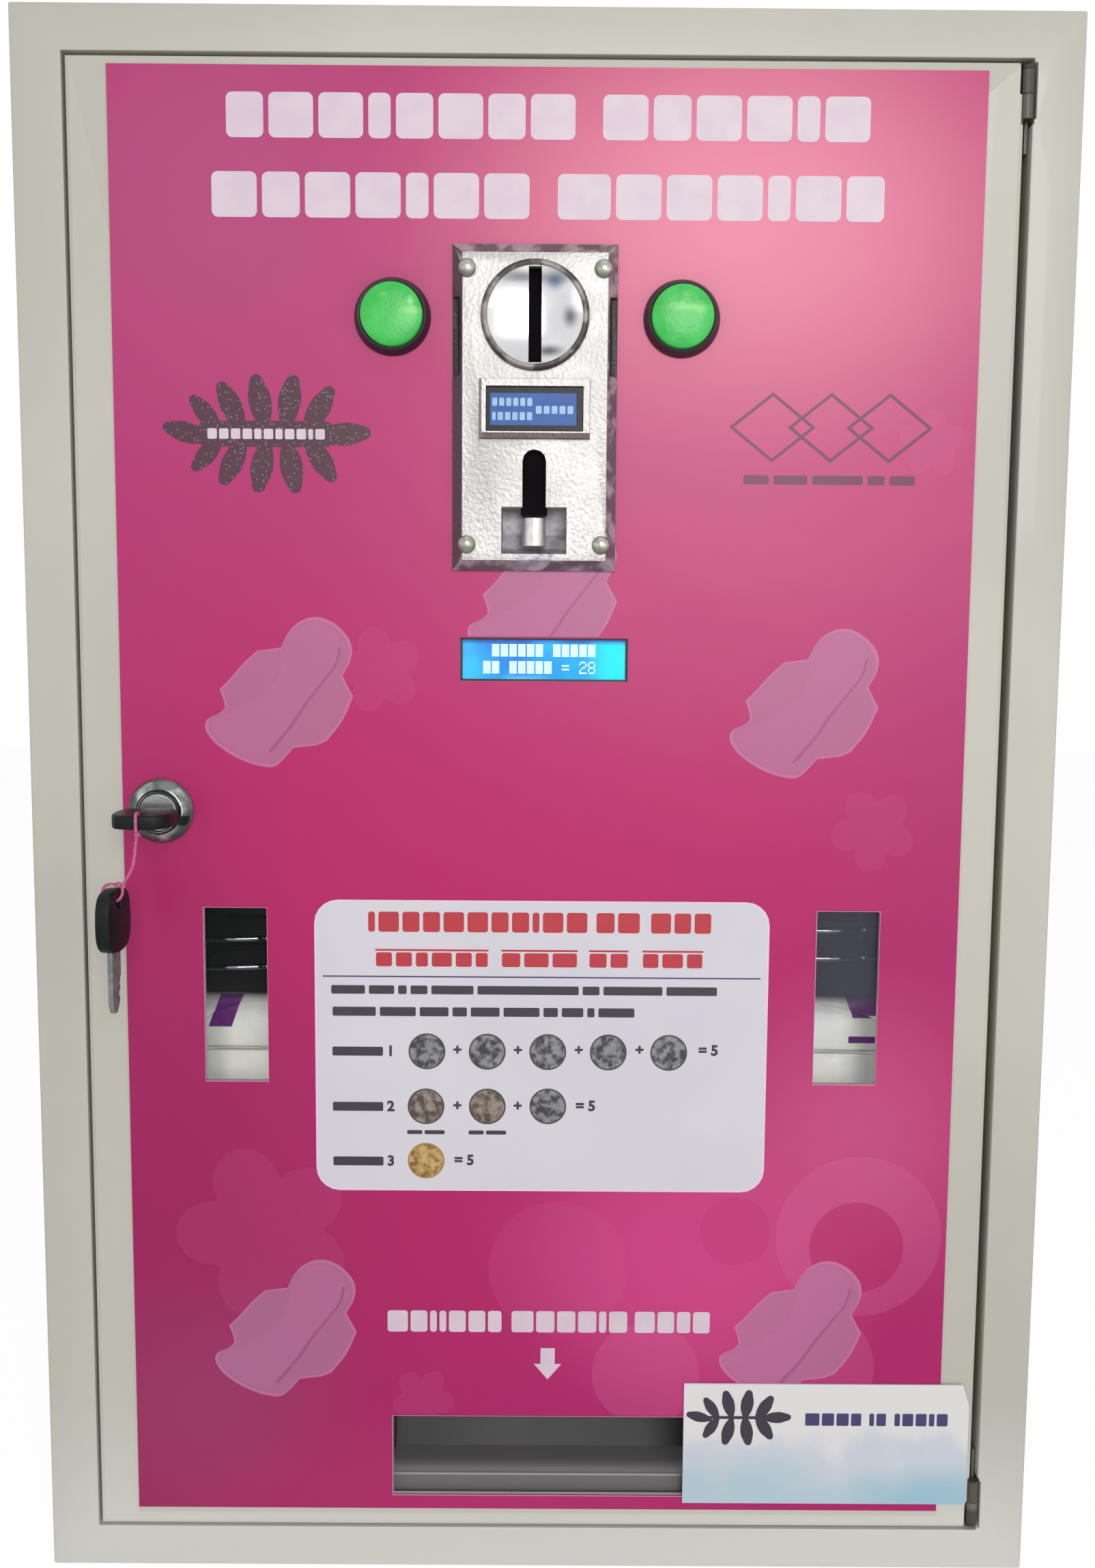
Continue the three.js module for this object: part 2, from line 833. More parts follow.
// One illuminated push button. Its y is counted inward from the face that the bezel sits on.
function pushButton(side, x) {
  const floorY = -button.floor;
  const neckEnd = -mountFace + button.neckLength;
  const bezel = turned(
    [
      [button.bezelRadius, 0],
      [button.bezelRadius, -button.floor],
      [button.bezelTop, -button.bezelHeight],
      [button.boreRadius, -button.bezelHeight],
      [button.boreRadius, floorY],
      [button.stemRadius + running, floorY],
      [button.stemRadius + running, neckEnd],
      [button.neckRadius, neckEnd],
      [button.neckRadius, 0],
    ],
    facets.medium,
  );
  const half = button.switchSize / 2;
  const holder = cut(
    block([-half, half], [neckEnd - button.floor, neckEnd + button.switchLength], [-half, half]),
    rodY(button.stemRadius + running, -overrun, neckEnd + button.travel, facets.medium),
  );
  const skirt = floorY - button.travel - seat;
  const edge = -button.bezelHeight - button.capDome;
  const capRadius = button.boreRadius - running;
  const cap = turned(
    [
      [0, button.stemLength],
      [button.stemRadius, button.stemLength],
      [button.stemRadius, skirt],
      [capRadius, skirt],
      ...button.domeShares.map(([out, up]) => [out * capRadius, edge - up * button.capDome]),
    ],
    facets.medium,
  );
  const nutFrom = doorInside - mountFace;
  const nut = cut(
    alongY(hexagon(button.nutAcross), nutFrom, nutFrom + button.nutHeight),
    rodY(button.neckRadius + running, 0, nutFrom + button.nutHeight + overrun, facets.medium),
  );
  return assembly(
    x,
    mountFace,
    buttonUp,
    piece(`button_housing_${side}`, join(bezel, holder), paint.black),
    piece(`button_cap_${side}`, cap, paint.green),
    piece(`button_nut_${side}`, nut, paint.black),
  );
}

// Die-cast front of the coin acceptor.
function acceptorPlate() {
  const { width, height, bevel, rim, thickness, wall } = acceptor;
  const half = width / 2;
  const tall = height / 2;
  const face = -thickness;
  const section = (size) => {
    const flat = size - bevel;
    return [[-size, 0], [size, 0], [size, -rim], [flat, face], [-flat, face], [-size, -rim]];
  };
  const across = alongZ(polygon(section(half)), -tall, tall);
  const upright = alongX(polygon(section(tall).map(([up, y]) => [y, up]).reverse()), -half, half);
  const frustum = across.intersect(upright);
  const hollow = block(
    [-acceptor.bodyWidth / 2 - seat, acceptor.bodyWidth / 2 + seat],
    [face + wall, overrun],
    [-acceptor.bodyHeight / 2 - seat, acceptor.bodyHeight / 2 + seat],
  );
  const top = face - sign.frameRise;
  const frame = alongY(rectangle(sign.frameWidth, sign.frameHeight, 0, sign.up), top, face + wall / 2);
  const recess = alongY(rectangle(sign.width, sign.height, 0, sign.up), top - overrun, top + sign.depth);
  const bolts = corners(acceptor.boltAcross, acceptor.boltUp).map(([a, b]) =>
    alongY(circle(acceptor.boltShank + running, a, b), face - overrun, overrun, facets.small),
  );
  const slotUp = [acceptor.sideSlotTop - acceptor.sideSlotHeight, acceptor.sideSlotTop];
  const sideSlots = [-1, 1].map((side) => {
    const span = ordered(side * (half + overrun), side * (half - acceptor.sideSlotDepth));
    return block(span, [face + rim, -rim / 2], slotUp);
  });
  const entryHole = rodY(entry.plugRadius + running, face - overrun, overrun, facets.large);
  const cast = join(cut(frustum, hollow), frame, pocketCup(face));
  return cut(
    cast,
    recess,
    ...bolts,
    ...sideSlots,
    entryHole.translate([0, 0, entry.up]),
    pillSlot(face - overrun, overrun, 0),
    pocketHollow(face),
    leverHole(face),
  );
}

// Upright slot with a round top.
function pillSlot(from, to, growth) {
  const half = refund.slotWidth / 2 + growth;
  const shape = new THREE.Shape();
  shape.moveTo(-half, refund.slotBottom - growth);
  shape.lineTo(half, refund.slotBottom - growth);
  shape.absarc(0, refund.slotTop - refund.slotWidth / 2, half, 0, Math.PI);
  return alongY(shape, from, to, facets.small / 2);
}

// Coin return pocket: its cup behind the plate, its hollow with the scooped floor, and the lever's guide.
function pocketCup(face) {
  const half = refund.pocketWidth / 2 + refund.pocketWall;
  return block(
    [-half, half],
    [face + acceptor.wall / 2, refund.pocketDepth + refund.pocketWall + face],
    [refund.pocketBottom - refund.pocketWall, refund.pocketTop + refund.pocketWall],
  );
}

function pocketHollow(face) {
  const half = refund.pocketWidth / 2;
  const floor = refund.pocketBottom;
  const rear = face + refund.pocketDepth;
  const scoop = new THREE.Shape();
  scoop.moveTo(face - overrun, floor);
  scoop.lineTo(rear - refund.lipRadius, floor);
  scoop.absarc(rear - refund.lipRadius, floor + refund.lipRadius, refund.lipRadius, -Math.PI / 2, 0);
  scoop.lineTo(rear, refund.pocketTop);
  scoop.lineTo(face - overrun, refund.pocketTop);
  return alongX(scoop, -half, half, facets.corner);
}

function leverHole(face) {
  const [w, h] = [refund.stemWidth + 2 * running, refund.stemHeight + 2 * running];
  const centre = (refund.leverTop + refund.leverBottom) / 2;
  return alongY(rectangle(w, h, 0, centre), face, refund.pocketDepth + refund.pocketWall + face + overrun);
}

const leverBackPlane = refund.leverRadius + refund.leverBack - refund.leverFront - acceptor.thickness;

// Half-round push lever in the pocket, with its stem.
function returnLever() {
  const r = refund.leverRadius;
  const nose = new THREE.Shape();
  const centre = leverBackPlane - refund.leverBack;
  nose.absarc(0, centre, r, Math.PI, 2 * Math.PI);
  nose.lineTo(r, leverBackPlane);
  nose.lineTo(-r, leverBackPlane);
  const middle = (refund.leverTop + refund.leverBottom) / 2;
  const section = rectangle(refund.stemWidth, refund.stemHeight, 0, middle);
  const stem = alongY(section, centre, leverBackPlane + refund.stemLength);
  return join(alongZ(nose, refund.leverBottom, refund.leverTop, facets.small), stem);
}

// One half of the black mechanism housing, with its half of the coin path. The way is -1 for the left.
function acceptorBody(way) {
  const { bodyWidth, bodyHeight, bodyDepth, bodyRound, thickness, wall } = acceptor;
  const from = -thickness + wall + seat;
  const to = from + bodyDepth;
  const tall = bodyHeight / 2;
  const housing = alongZ(
    rectangle(bodyWidth, bodyDepth, 0, (from + to) / 2, bodyRound),
    -tall,
    tall,
    facets.corner,
  );
  const gap = coin.gap / 2;
  const pathBack = coin.pathBack;
  const entryLow = entry.up - entry.slotHeight / 2;
  const pathEnd = pathBack + coin.diameter;
  const inward = block([-gap, gap], [from - overrun, pathEnd], [entryLow, entryLow + coin.diameter]);
  const down = block([-gap, gap], [pathBack, pathEnd], [-tall - overrun, entryLow + overrun]);
  const cupHalf = refund.pocketWidth / 2 + refund.pocketWall + seat;
  const cupRear = refund.pocketDepth + refund.pocketWall - thickness + seat;
  const cupTop = refund.pocketTop + refund.pocketWall + seat;
  const cup = block([-cupHalf, cupHalf], [from - overrun, cupRear], [-tall - overrun, cupTop]);
  const stemHalf = refund.stemWidth / 2 + running;
  const middle = (refund.leverTop + refund.leverBottom) / 2;
  const stemLow = Math.max(middle - refund.stemHeight / 2 - running, -tall - overrun);
  const guide = block(
    [-stemHalf, stemHalf],
    [0, leverBackPlane + refund.stemLength + refund.travel + running],
    [stemLow - overrun, middle + refund.stemHeight / 2 + running],
  );
  const discHole = rodY(entry.plugRadius + running, from - overrun, 0, facets.large);
  const pill = pillSlot(from - overrun, refund.slotDepth, seat);
  const side = ordered((way * seat) / 2, way * bodyWidth);
  const half = block(side, [from - overrun, to + overrun], [-tall, tall]);
  const whole = cut(housing, inward, down, cup, guide, discHole.translate([0, 0, entry.up]), pill);
  return whole.intersect(half);
}

// Coin entry: rolled ring, dished disc and upright slot.
function coinEntry() {
  const face = -acceptor.thickness;
  const foot = face - seat;
  const top = foot - entry.ringHeight;
  const { ringRadius, discRadius, plugRadius, dish, discThickness } = entry;
  const innerFace = foot - entry.ringShares[0][1] * entry.ringHeight;
  const rear = face + acceptor.wall;
  const ring = turned(
    [
      ...entry.dishShares.map(([out, deep]) => [out * discRadius, innerFace + deep * dish]).slice(0, -1),
      ...entry.ringShares.map(([out, up]) => [
        discRadius + out * (ringRadius - discRadius),
        foot - up * entry.ringHeight,
      ]),
      [ringRadius, foot],
      [plugRadius, foot],
      [plugRadius, rear],
      [plugRadius - discThickness, rear],
      [plugRadius - discThickness, innerFace + dish + discThickness],
      [0, innerFace + dish + discThickness],
    ],
    facets.large,
  );
  const slot = alongY(rectangle(entry.slotWidth, entry.slotHeight), top - overrun, rear + overrun);
  return cut(ring, slot).translate([0, 0, entry.up]);
}

function acceptorSign() {
  const bottom = -acceptor.thickness - sign.frameRise + sign.depth - seat;
  const shape = rectangle(sign.width - 2 * seat, sign.height - 2 * seat, 0, sign.up);
  return alongY(shape, bottom - sign.thickness, bottom);
}

// Dome-headed bolt with its nut behind the door.
function acceptorBolt() {
  const under = -acceptor.thickness - seat;
  const nutFrom = doorInside - mountFace;
  const nutTo = nutFrom + acceptor.boltNutHeight;
  const { boltHead: r, boltDome: h, boltShank } = acceptor;
  const dome = range(facets.dome + 1).map((i) => {
    const a = (i * Math.PI) / 2 / facets.dome;
    return [r * Math.cos(a), under - h * Math.sin(a)];
  });
  const end = nutTo + boltShank;
  const bolt = turned([[0, end], [boltShank, end], [boltShank, under], ...dome], facets.small);
  return join(bolt, alongY(hexagon(acceptor.boltNutAcross), nutFrom, nutTo));
}

function coinAcceptor() {
  const bolts = corners(acceptor.boltAcross, acceptor.boltUp).map(([a, b], i) => {
    return assembly(a, 0, b, piece(`acceptor_bolt_${i + 1}`, acceptorBolt(), paint.chrome));
  });
  return assembly(
    acceptor.x,
    mountFace,
    acceptorUp,
    piece("acceptor_plate", acceptorPlate(), paint.zinc),
    piece("coin_entry", coinEntry(), paint.chrome),
    piece("acceptor_sign", acceptorSign(), paint.blue),
    piece("coin_return_lever", returnLever(), paint.chrome),
    piece("acceptor_body_left", acceptorBody(-1), paint.black),
    piece("acceptor_body_right", acceptorBody(1), paint.black),
    piece("coin_tube", coinTube(), paint.black),
    ...bolts,
  );
}

// Square tube that drops coins from the acceptor into the coin box.
function coinTube() {
  const top = -acceptor.bodyHeight / 2 - seat;
  const low = box.shelfTop + seat + box.height + coin.overBox - acceptorUp;
  const y = coin.pathBack + coin.diameter / 2;
  const around = (wall, corner) =>
    rectangle(coin.gap + 2 * wall, coin.diameter + 2 * wall, 0, y, corner);
  const outer = around(seat + coin.tubeWall, coin.tubeWall);
  const flange = around(coin.tubeFlange, coin.tubeWall);
  return cut(
    join(alongZ(outer, low, top), alongZ(flange, top - coin.tubeWall, top)),
    alongZ(around(seat, 0), low - overrun, top + overrun),
  );
}

// Cam lock: threaded barrel with a conical flange, nut, plug, cam, inserted key and hanging spare.
function camLock() {
  const inward = -mountFace;
  const end = inward + lock.barrelLength;
  const top = -lock.flangeHeight;
  const face = top - lock.ringHeight;
  const barrel = turned(
    [
      [lock.flangeRadius, 0],
      [lock.flangeRadius, -lock.flangeEdge],
      [lock.flangeFace, top],
      [lock.ringRadius, top],
      [lock.ringRadius, face],
      [lock.plugRadius + running, face],
      [lock.plugRadius + running, end],
      [lock.barrelRadius, end],
      [lock.barrelRadius, 0],
    ],
    facets.medium,
  );
  const nutFrom = inward + doorInside;
  const nut = cut(
    alongY(hexagon(lock.nutAcross), nutFrom, nutFrom + lock.nutHeight),
    rodY(lock.barrelRadius + running, 0, nutFrom + lock.nutHeight + overrun, facets.medium),
  );
  const plugEnd = end + seat;
  const tailEnd = plugEnd + lock.tailLength + seat;
  const half = lock.tail / 2;
  const slotHalf = key.bladeWidth / 2 + running;
  const slotRise = key.bladeThickness / 2 + running;
  const plug = cut(
    join(
      rodY(lock.plugRadius, face, plugEnd, facets.medium),
      block([-half, half], [plugEnd - overrun, tailEnd + overrun], [-half, half]),
      rodY(lock.headRadius, tailEnd, tailEnd + lock.headHeight, facets.small),
    ),
    block([-slotHalf, slotHalf], [face - overrun, face + key.bladeLength + seat], [-slotRise, slotRise]),
  );
  const camFrom = plugEnd + (tailEnd - plugEnd - lock.camThickness) / 2;
  const w = lock.camWidth / 2;
  const outline = new THREE.Shape();
  outline.absarc(0, 0, w, 0, Math.PI);
  outline.lineTo(-w, w - lock.camLength);
  outline.absarc(0, w - lock.camLength, w, Math.PI, 2 * Math.PI);
  const cam = cut(
    alongY(outline, camFrom, camFrom + lock.camThickness, facets.small / 2),
    alongY(rectangle(lock.tail + 2 * running, lock.tail + 2 * running), camFrom - overrun, tailEnd + overrun),
  );
  return assembly(
    lockX,
    mountFace,
    lock.centre,
    piece("lock_barrel", barrel, paint.chrome),
    piece("lock_nut", nut, paint.zinc),
    piece("lock_plug", plug, paint.chrome),
    piece("lock_cam", cam, paint.zinc),
    assembly(0, face, 0, piece("key", keySolid(), paint.black)),
  );
}

// A key with its blade along +y from the lock's face and its bow on the -y side.
function keySolid() {
  const near = -key.reveal;
  const bow = rectangle(key.bowWidth, key.bowLength, 0, near - key.bowLength / 2, key.bowCorner);
  const holeY = near - key.bowLength + key.holeFromEnd;
  const half = key.bladeWidth / 2;
  const flat = key.bladeThickness / 2;
  const blade = block([-half, half], [near - overrun, key.bladeLength], [-flat, flat]);
  const rise = key.bowThickness / 2;
  const head = cut(
    alongZ(bow, -rise, rise, facets.corner),
    alongZ(circle(key.holeRadius, 0, holeY), -rise - overrun, rise + overrun, facets.small),
  );
  return join(head, blade);
}

// The thread starts under the end web of the inserted key's bow and ends on top of the spare's bow.
const lockFace = mountFace - lock.flangeHeight - lock.ringHeight;
const webY = lockFace - key.reveal - key.bowLength + (key.holeFromEnd - key.holeRadius) / 2;
const threadStart = [lockX, webY, lock.centre - key.bowThickness / 2 - seat];
const spareTop = [lockX - spare.aside, webY + spare.inward, threadStart[2] - spare.drop];

// The spare hangs by its bow, blade down, turned about the thread.
function spareKey() {
  const hanging = keySolid().rotate([-90, 0, 0]).rotate([0, 0, spare.turn]);
  const [x, y, top] = spareTop;
  return assembly(x, y, top - key.reveal - key.bowLength, piece("spare_key", hanging, paint.black));
}

function keyThread() {
  const rise = thread.diameter / 2;
  const end = [spareTop[0], spareTop[1], spareTop[2] + rise + seat / 2];
  const at = (shares) => shares.map((share, i) => threadStart[i] + share * (end[i] - threadStart[i]));
  const route = thread.routeShares.map((shares) => new THREE.Vector3(...at(shares)));
  const settings = {
    steps: thread.stepCount,
    extrudePath: new THREE.CatmullRomCurve3(route),
    curveSegments: thread.sides / 2,
  };
  const tube = new THREE.ExtrudeGeometry(circle(rise), settings);
  return piece("key_thread", solid(tube), paint.pink);
}

function noticeCard() {
  const x = doorRight - card.fromHingeEdge - card.width / 2;
  const z = card.bottom + card.height / 2;
  const shape = rectangle(card.width, card.height, x, z);
  return piece("notice_card", alongY(shape, mountFace - card.thickness, mountFace), paint.card);
}

// A wrapped pad: a flat packet with rounded edges and a crowned top and bottom.
function padPack(name) {
  const [w, d, h] = [pack.width / 2, packDepth / 2, pack.height / 2];
  const { packSide, packUp } = facets;
  const geometry = new THREE.BoxGeometry(2 * w, 2 * d, 2 * h, packSide, packSide, packUp);
  const at = geometry.attributes.position;
  range(at.count).forEach((i) => {
    const [x, y, z] = [at.getX(i) / w, at.getY(i) / d, at.getZ(i) / h];
    const side = Math.max(Math.abs(x), Math.abs(y));
    const fall = (1 - Math.cos((side * Math.PI) / 2)) * pack.crown;
    const inset = pack.edge * z * z;
    at.setXYZ(i, x * (w - inset), y * (d - inset), z * (h - fall));
  });
  return piece(name, solid(geometry), paint.white);
}

// Magazine column centred on x = 0, standing on its deck.
function magazineColumn(side) {
  const { sheet, lip, ribPitch, ribRise, ribHeight, ribMargin } = magazine;
  const top = cabinet.height - magazine.fromTop;
  const tabTop = top - magazine.tabFromTop;
  const half = columnWidth / 2;
  const base = deck.top + seat;
  const exitTop = deck.top + pack.pitch + deck.exit;
  const wallSpan = [magazine.front, magazineRear + sheet];
  const outer = [-half - sheet, half + sheet];
  const frontInside = magazine.front + sheet;
  const through = [base - overrun, top + overrun];
  const body = cut(
    block(outer, wallSpan, [base, top]),
    block([-half, half], [frontInside, magazineRear], through),
    block([-half + lip, half - lip], [magazine.front - overrun, frontInside + overrun], through),
    block(
      [-half - sheet - overrun, half + sheet + overrun],
      [frontInside, magazineRear + sheet + overrun],
      [base - overrun, exitTop],
    ),
  );
  const ribFrom = exitTop + ribMargin;
  const ribCount = Math.floor((top - ribFrom - ribMargin) / ribPitch);
  const rib = (z, y0, y1, side) => {
    const slope = ribRise / 2;
    const outline = [[y0, z], [y0, z + ribHeight], [y1, z + ribHeight - slope], [y1, z + slope]];
    return alongX(polygon(outline), -side, side);
  };
  const ribUp = range(ribCount).map((i) => ribFrom + i * ribPitch);
  const rear = magazineRear + sheet;
  const reach = half - ribMargin;
  const bosses = ribUp.map((z) => rib(z, rear - sheet / 2, rear + ribRise, reach));
  const dents = ribUp.map((z) => rib(z, magazineRear - overrun, magazineRear + ribRise, reach - sheet));
  const tabX = [-magazine.tabWidth / 2, magazine.tabWidth / 2];
  const tabs = [tabTop, tabTop - magazine.tabPitch].flatMap((up) => [
    block(tabX, [rear - sheet / 2, backFace], [up, up + sheet]),
    block(tabX, [backFace - sheet, backFace], [up, up + magazine.tabHeight]),
  ]);
  const made = join(body, ...bosses, ...tabs);
  return piece(`magazine_${side}`, cut(made, ...dents), paint.darkSheet);
}

// Deck below a column. The way is +1 when the cabinet's centre lies on the +x side.
function ejectorDeck(side, way) {
  const half = columnWidth / 2;
  const wall = cabinet.width / 2 - cabinet.sheet - seat - columnX;
  const [inner, outer] = [way * (half + magazine.sheet), -way * wall];
  const span = [magazine.front, platePlane + deck.sheet];
  const plate = block(ordered(inner, outer), span, [deck.top - deck.sheet, deck.top]);
  const fold = ordered(outer, outer + way * deck.sheet);
  const flange = block(fold, span, [deck.top - deck.wallFlange, deck.top]);
  const motorX = way * pinionX;
  const upright = block(
    [motorX - deck.plateWidth / 2, motorX + deck.plateWidth / 2],
    [platePlane, platePlane + deck.sheet],
    [deck.top - deck.sheet, deck.top + deck.plateHeight],
  );
  const boreSpan = [platePlane - overrun, platePlane + deck.sheet + overrun];
  const bore = rodY(motor.bossRadius + running, ...boreSpan, facets.medium);
  const made = cut(join(plate, flange, upright), bore.translate([motorX, 0, pinionUp]));
  return piece(`ejector_deck_${side}`, made, paint.zinc);
}

// Gear sizes. The rack stands on the pusher's rear arm with its teeth up, and the pinion runs on top
// of it. At rest the pinion sits on a tooth near the rack's inner end.
const toothPitch = Math.PI * gear.module;
const pressureAngle = THREE.MathUtils.degToRad(gear.pressureDegrees);
const rootDepth = gear.module * gear.rootShare;
const pusherNear = pack.width / 2 + pack.slack + seat;
const pusherFar = pusherNear + pusher.length;
const rackTeeth = Math.ceil(pusher.travel / toothPitch) + gear.spareTeeth;
const rackLength = rackTeeth * toothPitch;
const rackCentre = pusherFar - rackLength / 2;
const pinionX = gear.restTooth * toothPitch - rackCentre;
const rackLine = deck.top + seat + pusher.height - gear.module;
const pinionUp = rackLine + pitchRadius + gear.apart;

// Rack outline with flanks at the pressure angle.
function rackOutline(from, to) {
  const bottom = rackLine - rootDepth;
  const top = rackLine + gear.module;
  const halfTooth = (toothPitch - gear.play) / 4;
  const root = halfTooth + rootDepth * Math.tan(pressureAngle);
  const tip = halfTooth - gear.module * Math.tan(pressureAngle);
  const count = Math.round((to - from) / toothPitch);
  const points = [[to, deck.top + seat], [to, bottom]];
  range(count).reverse().forEach((i) => {
    const x = from + (i + 0.5) * toothPitch;
    points.push([x + root, bottom], [x + tip, top], [x - tip, top], [x - root, bottom]);
  });
  points.push([from, bottom], [from, deck.top + seat]);
  return polygon(points);
}

// Pusher: a low folded slab beside the stack, with the rack on an arm behind the magazine.
function pusherSlide(side, way) {
  const span = ordered(-way * pusherNear, -way * pusherFar);
  const low = deck.top + seat;
  const top = low + pusher.height;
  const rear = rackFront + pusher.rackDepth;
  const slab = cut(
    block(span, [stackFront, rear], [low, top]),
    block(
      [span[0] + pusher.sheet, span[1] - pusher.sheet],
      [stackFront + pusher.sheet, stackBack - pusher.sheet],
      [low - overrun, top - pusher.sheet],
    ),
    block(
      [span[0] - overrun, span[1] + overrun],
      [stackBack, rear + overrun],
      [rackLine - rootDepth, top + overrun],
    ),
  );
  const rack = alongY(rackOutline(-rackLength / 2, rackLength / 2), rackFront, rear - seat);
  return piece(`pusher_${side}`, join(slab, rack.translate([-way * rackCentre, 0, 0])), paint.zinc);
}

// Half angle of an involute tooth at a radius.
function toothHalfAngle(radius) {
  const involute = (angle) => Math.tan(angle) - angle;
  const baseRadius = pitchRadius * Math.cos(pressureAngle);
  const atPitch = (toothPitch - gear.play) / 4 / pitchRadius;
  const angle = Math.acos(Math.min(1, baseRadius / radius));
  return atPitch + involute(pressureAngle) - involute(angle);
}

// Spur pinion with involute teeth, a tooth space at its lowest point.
function pinion(side) {
  const rootRadius = pitchRadius - rootDepth;
  const tipRadius = pitchRadius + gear.module;
  const flanks = gear.flankShares.map((share) => pitchRadius + share * gear.module);
  const radii = [rootRadius, ...flanks, tipRadius];
  const points = range(gear.teeth).flatMap((i) => {
    const middle = ((i + 0.5) * 2 * Math.PI) / gear.teeth - Math.PI / 2;
    const flank = (radius, way) => {
      const angle = middle + way * toothHalfAngle(radius);
      return [radius * Math.cos(angle), radius * Math.sin(angle)];
    };
    const rising = radii.map((radius) => flank(radius, -1));
    return [...rising, ...radii.map((radius) => flank(radius, 1)).reverse()];
  });
  const bore = rodY(gear.bore + running, -overrun, gear.face + overrun, facets.small);
  return piece(`pinion_${side}`, cut(alongY(polygon(points), 0, gear.face), bore), paint.brass);
}

function gearmotor(side) {
  const from = deck.sheet + seat;
  const gearboxEnd = from + motor.gearboxLength;
  const made = join(
    rodY(gear.bore, -motor.bossLength - gear.face - seat, from + overrun, facets.small),
    rodY(motor.bossRadius, -seat, from + overrun, facets.small),
    rodY(motor.radius, from, gearboxEnd, facets.medium),
    rodY(motor.radius - overrun, gearboxEnd - overrun, from + motor.length, facets.medium),
  );
  return piece(`gearmotor_${side}`, made, paint.darkSheet);
}

// Everything that belongs to one column. The way points from the column to the cabinet's centre.
function column(side, way) {
  const packs = range(pack.count).map((i) => {
    const up = deck.top + seat + pack.pitch * i + pack.height / 2;
    return assembly(0, stackFront + packDepth / 2, up, padPack(`pack_${side}_${i + 1}`));
  });
  return assembly(
    -way * columnX,
    0,
    0,
    magazineColumn(side),
    ejectorDeck(side, way),
    pusherSlide(side, way),
    assembly(way * pinionX, platePlane - motor.bossLength - gear.face, pinionUp, pinion(side)),
    assembly(way * pinionX, platePlane, pinionUp, gearmotor(side)),
    ...packs,
  );
}

// Chute: side walls, sloped back, shallow trough, a front lip folded down and flanges under the decks.
function deliveryChute() {
  const { sheet, wide, lipTop, lipFront, lipDrop, troughDepth, troughFall, backTop, skirt } = chute;
  const half = wide / 2;
  const top = deck.top - deck.sheet - seat;
  const low = lipTop - troughFall;
  const rearLow = lipFront + troughDepth;
  const lipEnd = lipTop - lipDrop;
  const line = [[lipFront, lipEnd], [lipFront, lipTop], [rearLow, low], [backTop, top]];
  const floor = alongX(strip(line, sheet), -half, half);
  const skirtEnd = [rearLow + sheet, low - skirt];
  const outline = [[lipFront, lipEnd], skirtEnd, [backTop + sheet, top], [lipFront, top]];
  const deckEdge = columnX - columnWidth / 2 - magazine.sheet + chute.flangeUnder;
  const walls = [-1, 1].flatMap((way) => [
    alongX(polygon(outline), ...ordered(way * half, way * (half - sheet))),
    block(
      ordered(way * (half - sheet), way * deckEdge - opening.x),
      [chute.flangeFront, backTop],
      [top - sheet, top],
    ),
  ]);
  return assembly(opening.x, 0, 0, piece("delivery_chute", join(floor, ...walls), paint.darkSheet));
}

// Coin box with a grip slot in its front wall, and its shelf between the columns.
function coinBox() {
  const { depth, height, sheet, front, gripHeight, gripRound, shelfTop } = box;
  const half = box.widthShare * (columnX - columnWidth / 2 - magazine.sheet);
  const low = shelfTop + seat;
  const inner = half - sheet;
  const grip = rectangle(2 * box.gripShare * half, gripHeight, 0, low + height - gripHeight, gripRound);
  const made = cut(
    block([-half, half], [front, front + depth], [low, low + height]),
    block([-inner, inner], [front + sheet, front + depth - sheet], [low + sheet, low + height + overrun]),
    alongY(grip, front - overrun, front + sheet + overrun),
  );
  return piece("coin_box", made, paint.zinc);
}

function coinShelf() {
  const half = columnX - columnWidth / 2 - magazine.sheet - seat;
  const span = [shelf.front, shelf.front + shelf.depth];
  const top = box.shelfTop;
  const inner = half - shelf.sheet;
  const made = cut(
    block([-half, half], span, [top - shelf.sheet, top + shelf.flange]),
    block([-inner, inner], [span[0] - overrun, span[1] - shelf.sheet], [top, top + shelf.flange + overrun]),
  );
  return piece("coin_shelf", made, paint.zinc);
}

function powerSupply() {
  const front = backFace - supply.depth;
  const half = supply.width / 2;
  const bottom = cabinet.height - supply.fromTop;
  const vents = range(supply.ventCount).map((i) => {
    const x = (i - (supply.ventCount - 1) / 2) * supply.ventPitch;
    const shape = rectangle(supply.ventWidth, supply.ventHeight, x, bottom + supply.height / 2);
    return alongY(shape, front - overrun, front + supply.cover);
  });
  const body = block([-half, half], [front, backFace], [bottom, bottom + supply.height]);
  return piece("power_supply", cut(body, ...vents), paint.zinc);
}

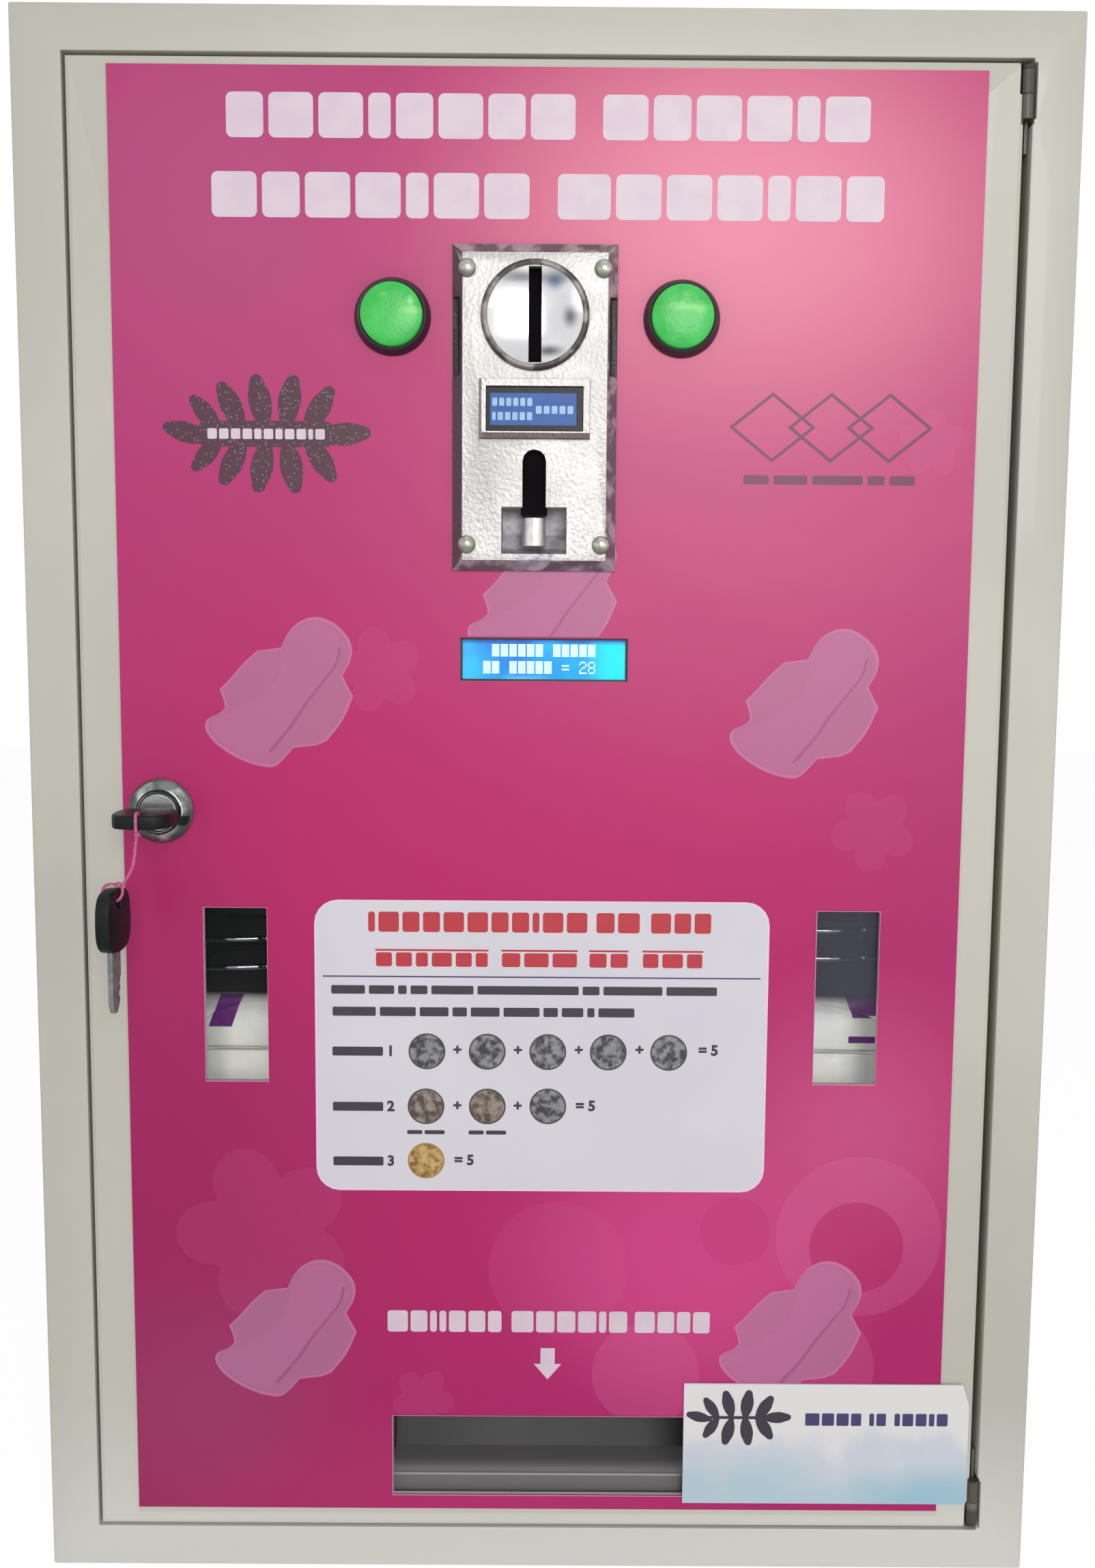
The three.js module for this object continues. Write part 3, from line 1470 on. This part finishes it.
function controlBoard() {
  const { width, height, thickness, standoff, standoffRadius, inset } = board;
  const face = backFace - standoff;
  const front = face - thickness;
  const centre = cabinet.height - board.fromTop + height / 2;
  const posts = corners(width - 2 * inset, height - 2 * inset).map(([a, b]) =>
    alongY(circle(standoffRadius, a, centre + b), face - thickness / 2, backFace, facets.small / 2),
  );
  const chips = board.chipShares.map((chip) => {
    const size = [chip.width * width, chip.height * height];
    const shape = rectangle(...size, chip.x * width, centre + chip.z * height);
    return alongY(shape, front - chip.rise * standoff, front + thickness / 2);
  });
  const sheetOf = alongY(rectangle(width, height, 0, centre), front, face);
  return piece("control_board", join(sheetOf, ...posts, ...chips), paint.pcb);
}

// Mains inlet in the right side wall, its socket facing outward.
function mainsInlet() {
  const face = cabinet.width / 2 + seat;
  const outer = face + inlet.flange;
  const floor = outer - inlet.socketIn;
  const across = (deep, tall) => rectangle(deep, tall, inletY, inlet.up, inlet.flange);
  const body = join(
    alongX(across(inlet.depth, inlet.height), face, outer),
    alongX(across(inlet.bodyDepth, inlet.bodyHeight), face - inlet.body, outer - inlet.flange / 2),
  );
  const socket = alongX(across(inlet.socketDepth, inlet.socketHeight), floor, outer + overrun);
  const pins = [-1, 0, 1].map((i) => {
    const half = inlet.pin / 2;
    const y = inletY + i * inlet.pinPitch;
    const length = [floor - overrun, floor + inlet.pinLength];
    return block(length, [y - half, y + half], [inlet.up - inlet.pin, inlet.up + inlet.pin]);
  });
  return piece("mains_inlet", join(cut(body, socket), ...pins), paint.black);
}

// The whole machine. The groups inside count y from the front face of the frame.
const doorGroup = assembly(
  0,
  0,
  0,
  doorPanel(),
  doorVinyl(),
  viewingWindow("window_left", -1),
  viewingWindow("window_right", 1),
  display(),
  pushButton("left", button.left),
  pushButton("right", button.right),
  coinAcceptor(),
  camLock(),
  spareKey(),
  keyThread(),
  noticeCard(),
);

const machine = assembly(
  0,
  -cabinet.depth / 2,
  0,
  cabinetShell(),
  backPanel(),
  hingeBracket("hinge_upper", true),
  hingeBracket("hinge_lower", false),
  hingePin("hinge_pin_upper", true),
  hingePin("hinge_pin_lower", false),
  column("left", 1),
  column("right", -1),
  deliveryChute(),
  coinBox(),
  coinShelf(),
  powerSupply(),
  controlBoard(),
  mainsInlet(),
  doorGroup,
);

const part = new THREE.Group();
part.add(machine);

export default part;
